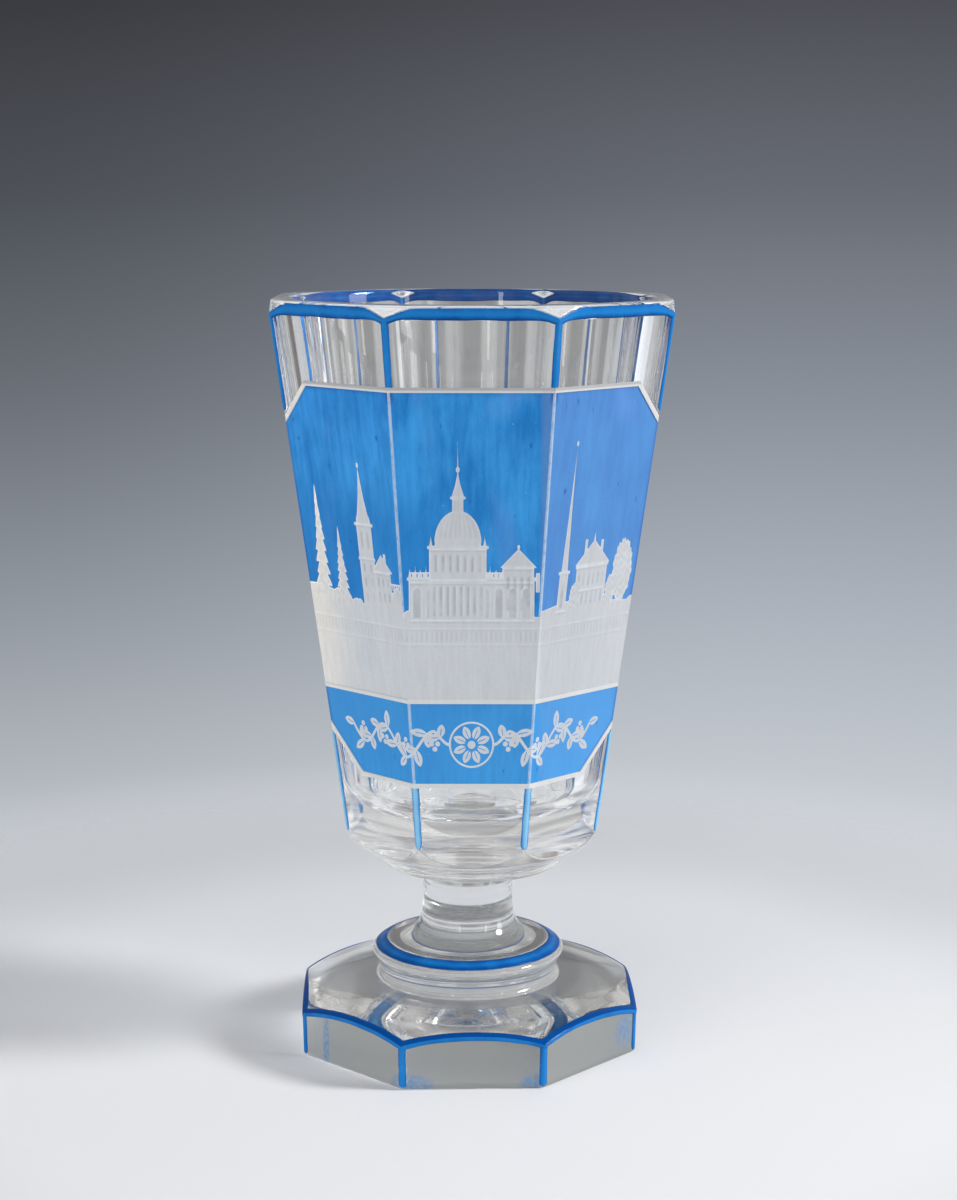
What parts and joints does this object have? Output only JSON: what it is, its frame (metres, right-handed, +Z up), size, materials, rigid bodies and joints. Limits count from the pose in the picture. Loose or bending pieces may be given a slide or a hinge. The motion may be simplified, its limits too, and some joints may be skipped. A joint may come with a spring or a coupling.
{
  "type": "spa beaker",
  "caption": "Footed eight-sided glass beaker with a turned stem, round collar, blue enamel edge lines and a blue stained picture panel with an etched park scene.",
  "frame": {"origin": "on the bowl's axis, in the plane of the foot's flat underside; the foot, collar and stem stand 0.75 mm to its left, as joined by hand", "axes": "+Z up the axis to the rim, -Y out of the middle front facet, +X to the right as the picture is seen"},
  "size_m": [0.0726, 0.0726, 0.14],
  "materials": {
    "clear_glass": "cut and polished",
    "blue_enamel": "fired gloss enamel",
    "blue_stain": "fired transparent stain with brush streaks",
    "etched_glass": "matte, wheel-engraved"
  },
  "bodies": {
    "root": {"bowl": "clear_glass", "stem": "clear_glass", "collar": "clear_glass", "foot": "clear_glass", "rim_enamel_band": "blue_enamel", "collar_ring": "blue_enamel", "foot_arch_line": "blue_enamel", "foot_edge_line_1": "blue_enamel", "foot_edge_line_2": "blue_enamel", "foot_edge_line_3": "blue_enamel", "foot_edge_line_4": "blue_enamel", "foot_edge_line_5": "blue_enamel", "foot_edge_line_6": "blue_enamel", "foot_edge_line_7": "blue_enamel", "foot_edge_line_8": "blue_enamel", "edge_line_side_left": "blue_enamel", "edge_line_rear_left": "blue_enamel", "edge_line_rear_right": "blue_enamel", "edge_line_side_right": "blue_enamel", "upper_edge_line_outer_left": "blue_enamel", "upper_edge_line_inner_left": "blue_enamel", "upper_edge_line_inner_right": "blue_enamel", "upper_edge_line_outer_right": "blue_enamel", "lower_edge_line_outer_left": "blue_enamel", "lower_edge_line_inner_left": "blue_enamel", "lower_edge_line_inner_right": "blue_enamel", "lower_edge_line_outer_right": "blue_enamel", "stained_sky_left": "blue_stain", "stained_sky_middle": "blue_stain", "stained_sky_right": "blue_stain", "stained_band_left": "blue_stain", "stained_band_middle": "blue_stain", "stained_band_right": "blue_stain", "etched_scene_left": "etched_glass", "etched_scene_middle": "etched_glass", "etched_scene_right": "etched_glass", "etched_line_top": "etched_glass", "etched_line_middle": "etched_glass", "etched_line_bottom": "etched_glass"}
  },
  "joints": []
}
